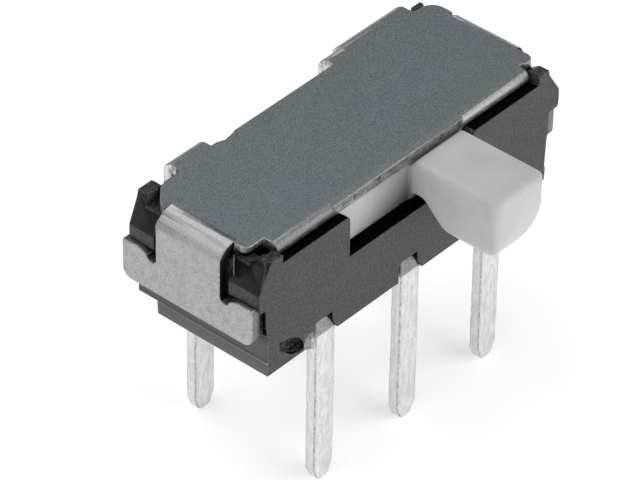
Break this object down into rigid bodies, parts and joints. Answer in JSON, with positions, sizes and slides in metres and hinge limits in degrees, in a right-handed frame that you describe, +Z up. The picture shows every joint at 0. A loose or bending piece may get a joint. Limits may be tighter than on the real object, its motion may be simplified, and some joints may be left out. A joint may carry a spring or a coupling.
{
  "type": "slide switch",
  "caption": "Miniature slide switch for a circuit board, with a sliding knob out of its long side, a clipped-on sheet metal cover and straight through-hole terminals.",
  "frame": {"origin": "middle of the body's underside, the seating plane on the circuit board, midway between the terminal rows", "axes": "+X along the body towards the end where the knob stands at rest, -Y towards the knob side, +Z up, away from the board"},
  "size_m": [0.0092, 0.0057, 0.0065],
  "materials": {
    "housing_plastic": "matte, fine grain",
    "cover_steel": "satin, plated",
    "knob_plastic": "matte",
    "terminal_tin": "matte tin plate",
    "bridge_silver": "silver plate"
  },
  "bodies": {
    "base": {"housing": "housing_plastic", "cover": "cover_steel", "terminal_front_left": "terminal_tin", "terminal_front_middle": "terminal_tin", "terminal_front_right": "terminal_tin", "terminal_rear_left": "terminal_tin", "terminal_rear_middle": "terminal_tin", "terminal_rear_right": "terminal_tin"},
    "slider": {"slider": "knob_plastic", "bridge_front": "bridge_silver", "bridge_rear": "bridge_silver"}
  },
  "joints": [
    {"name": "slider_slide", "type": "slide", "parent": "base", "child": "slider", "axis": [1, 0, 0], "range_m": [-0.002, 0]}
  ]
}
